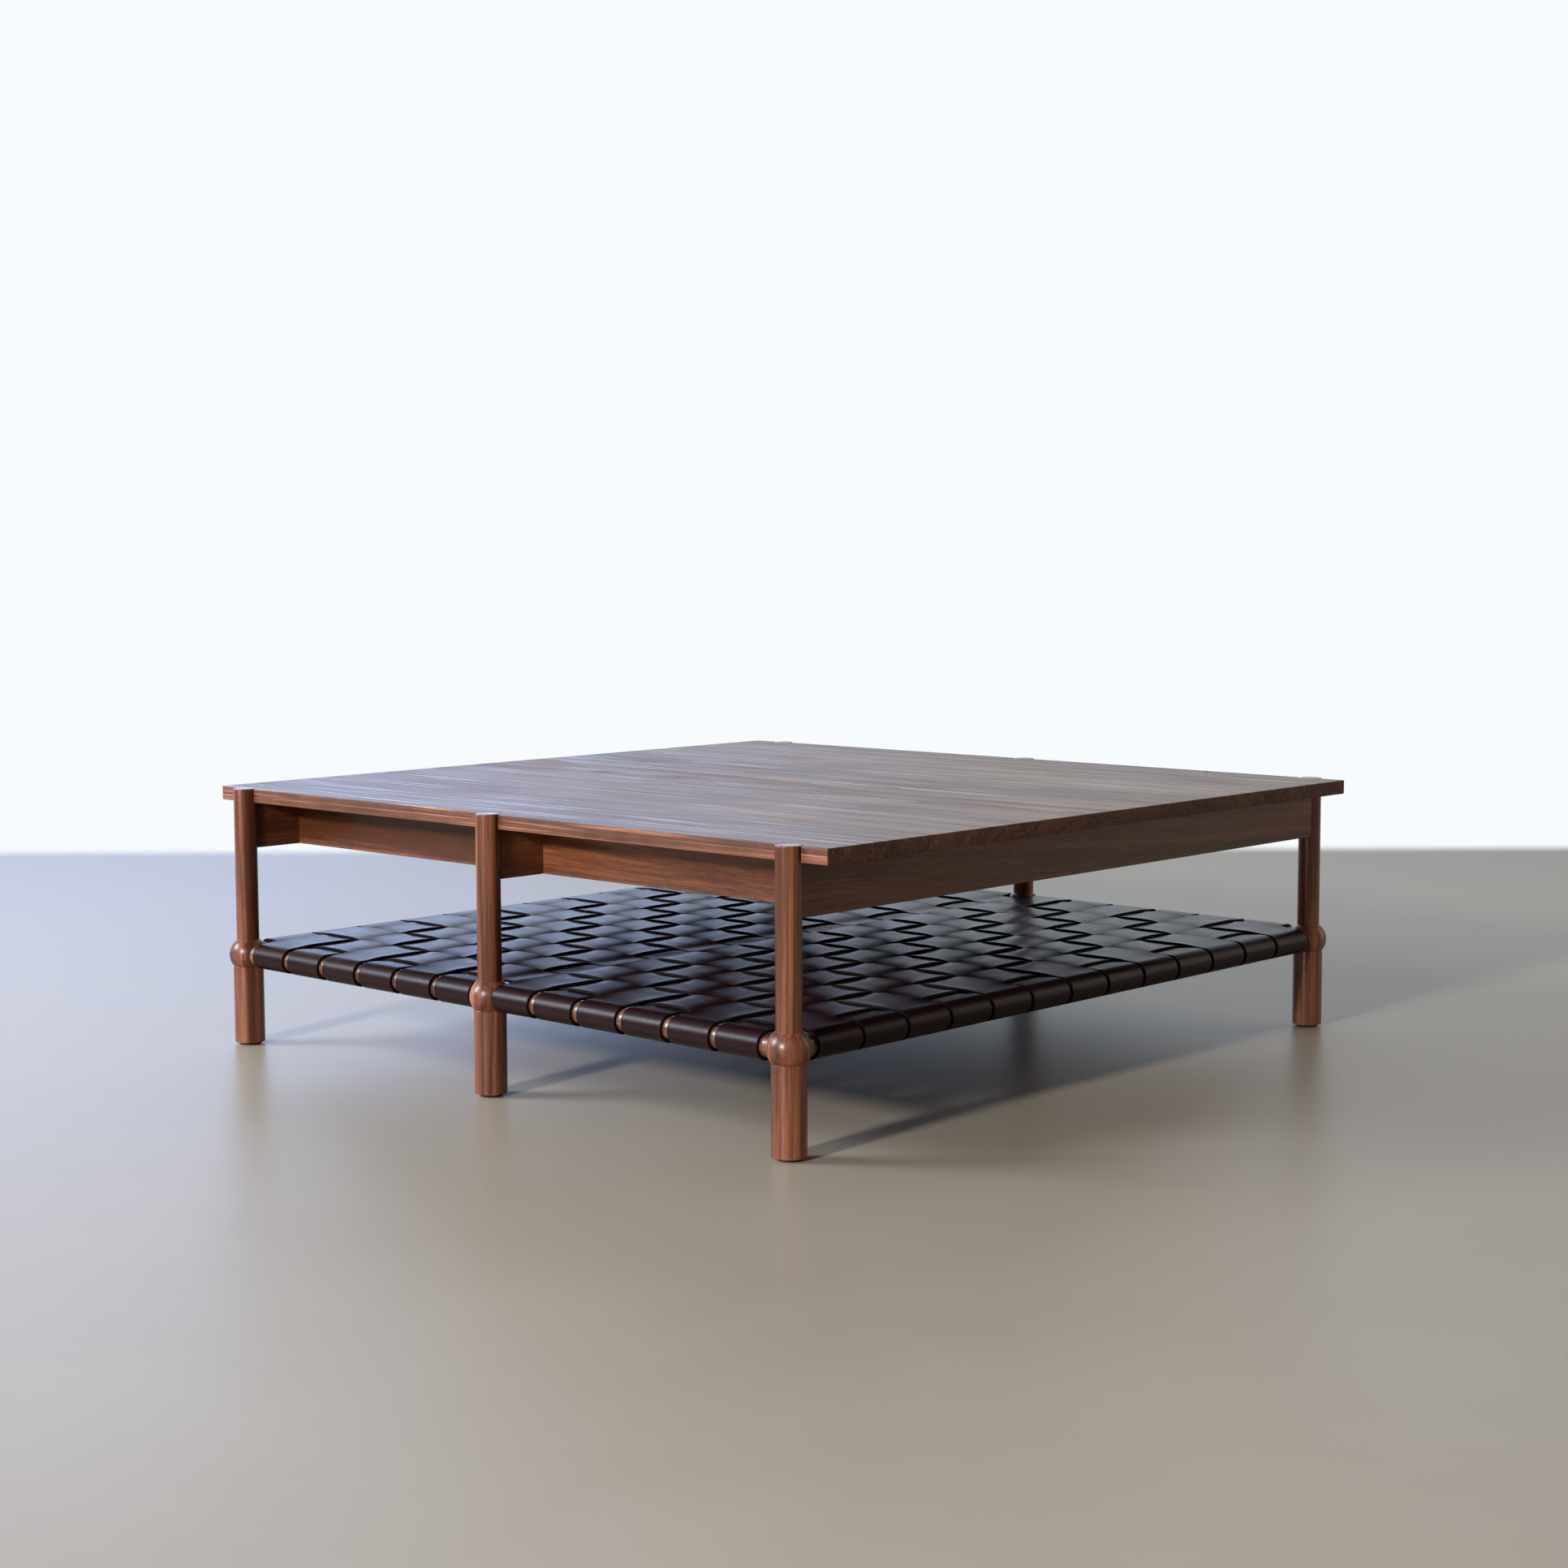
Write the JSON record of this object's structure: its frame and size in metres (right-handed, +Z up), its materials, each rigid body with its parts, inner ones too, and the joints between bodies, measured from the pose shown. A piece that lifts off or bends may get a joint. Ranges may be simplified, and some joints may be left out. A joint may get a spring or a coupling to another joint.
{
  "type": "coffee table",
  "caption": "Low square walnut coffee table with turned ball legs, a notched plank top and a shelf of woven leather straps over round rails.",
  "frame": {"origin": "on the floor under the middle of the table", "axes": "+Z up, +X along the boards of the top, the front long side faces -Y"},
  "size_m": [1.219, 1.227, 0.3825],
  "materials": {
    "walnut_top": "satin oiled walnut",
    "walnut_leg": "satin oiled walnut",
    "walnut_beam": "satin oiled walnut",
    "walnut_rail": "satin oiled walnut",
    "leather": "dark semi-gloss bridle leather with black edges",
    "glide": "matt dark pad"
  },
  "bodies": {
    "root": {"table_top": "walnut_top", "leg_front_left": "walnut_leg", "leg_front_middle": "walnut_leg", "leg_front_right": "walnut_leg", "leg_rear_left": "walnut_leg", "leg_rear_middle": "walnut_leg", "leg_rear_right": "walnut_leg", "glide_front_left": "glide", "glide_front_middle": "glide", "glide_front_right": "glide", "glide_rear_left": "glide", "glide_rear_middle": "glide", "glide_rear_right": "glide", "cross_beam_left": "walnut_beam", "cross_beam_middle": "walnut_beam", "cross_beam_right": "walnut_beam", "long_rail_front_left": "walnut_beam", "long_rail_front_right": "walnut_beam", "long_rail_rear_left": "walnut_beam", "long_rail_rear_right": "walnut_beam", "top_button_front_left_1": "walnut_beam", "top_button_front_left_2": "walnut_beam", "top_button_front_right_1": "walnut_beam", "top_button_front_right_2": "walnut_beam", "top_button_rear_left_1": "walnut_beam", "top_button_rear_left_2": "walnut_beam", "top_button_rear_right_1": "walnut_beam", "top_button_rear_right_2": "walnut_beam", "shelf_rail_front_left": "walnut_rail", "shelf_rail_front_right": "walnut_rail", "shelf_rail_rear_left": "walnut_rail", "shelf_rail_rear_right": "walnut_rail", "shelf_rail_side_left": "walnut_rail", "shelf_rail_side_right": "walnut_rail", "strap_across_01": "leather", "strap_across_02": "leather", "strap_across_03": "leather", "strap_across_04": "leather", "strap_across_05": "leather", "strap_across_06": "leather", "strap_across_07": "leather", "strap_across_08": "leather", "strap_across_09": "leather", "strap_across_10": "leather", "strap_across_11": "leather", "strap_across_12": "leather", "strap_along_01": "leather", "strap_along_02": "leather", "strap_along_03": "leather", "strap_along_04": "leather", "strap_along_05": "leather", "strap_along_06": "leather", "strap_along_07": "leather", "strap_along_08": "leather", "strap_along_09": "leather", "strap_along_10": "leather", "strap_along_11": "leather", "strap_along_12": "leather", "strap_along_13": "leather"}
  },
  "joints": []
}
